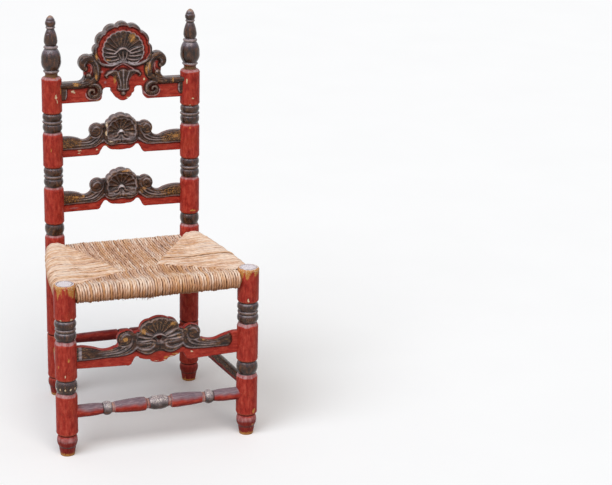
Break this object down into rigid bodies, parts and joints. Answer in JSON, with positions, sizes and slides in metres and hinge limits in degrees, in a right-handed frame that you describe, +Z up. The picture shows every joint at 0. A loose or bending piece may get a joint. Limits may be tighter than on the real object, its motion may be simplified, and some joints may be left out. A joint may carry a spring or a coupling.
{
  "type": "side chair",
  "caption": "Painted wooden side chair with turned posts, carved shell crest, slats and apron, turned stretchers and a rush seat.",
  "frame": {"origin": "on the floor, under the middle of the chair's box", "axes": "+Z up, -Y is the front, where the sitter's legs go, +X is to the right of someone who looks at the front"},
  "size_m": [0.535, 0.442, 1.06],
  "materials": {
    "painted_wood": "old brick red paint with dark brown ornament, worn to the wood at edges",
    "bare_wood": "unpainted dowel",
    "rush": "twisted rush cord, aged",
    "stuffing": "dry rush offcuts"
  },
  "bodies": {
    "root": {"rear_post_left": "painted_wood", "rear_post_right": "painted_wood", "front_post_left": "painted_wood", "front_post_right": "painted_wood", "crest_rail": "painted_wood", "upper_slat": "painted_wood", "lower_slat": "painted_wood", "front_apron": "painted_wood", "front_stretcher": "painted_wood", "rear_stretcher": "painted_wood", "side_stretcher_left": "painted_wood", "side_stretcher_right": "painted_wood", "seat_rail_front": "bare_wood", "seat_rail_rear": "bare_wood", "seat_rail_left": "bare_wood", "seat_rail_right": "bare_wood", "rush_seat": "rush", "seat_stuffing": "stuffing"}
  },
  "joints": []
}
